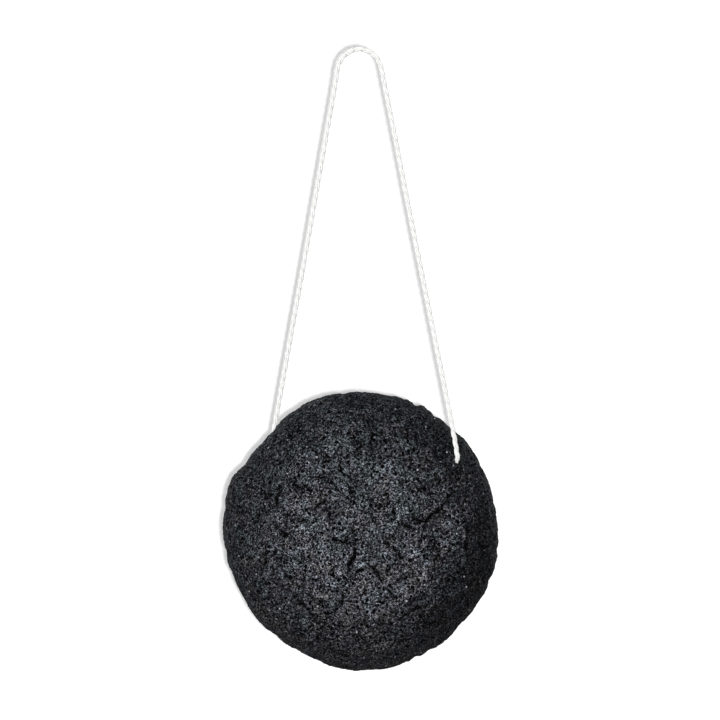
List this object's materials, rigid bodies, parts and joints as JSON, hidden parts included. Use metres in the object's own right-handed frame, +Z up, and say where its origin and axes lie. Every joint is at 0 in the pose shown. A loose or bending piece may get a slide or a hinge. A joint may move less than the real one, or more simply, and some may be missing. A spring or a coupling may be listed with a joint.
{
  "type": "konjac sponge",
  "caption": "Domed charcoal-grey plant-fibre face sponge with a flat back, rocking on a twisted cotton string loop that hangs it up to dry.",
  "frame": {"origin": "underside of the string loop's top, at the middle of the string, where a hook, peg or hand carries it", "axes": "+Z up along the hanging string, -Y the way the domed face looks, +Y out of the flat back, +X to the right as seen from the domed side"},
  "size_m": [0.0795, 0.0323, 0.1802],
  "materials": {
    "charcoal_konjac_foam": "matte",
    "twisted_cotton_string": "matte"
  },
  "bodies": {
    "string_loop": {"cord": "twisted_cotton_string", "cord_knot": "twisted_cotton_string"},
    "puff": {"sponge": "charcoal_konjac_foam"}
  },
  "joints": [
    {"name": "sponge_rock", "type": "hinge", "parent": "string_loop", "child": "puff", "pos_m": [0, 0, -0.12], "axis": [0.9426, -0.3338, 0], "range_deg": [-8, 12]}
  ]
}
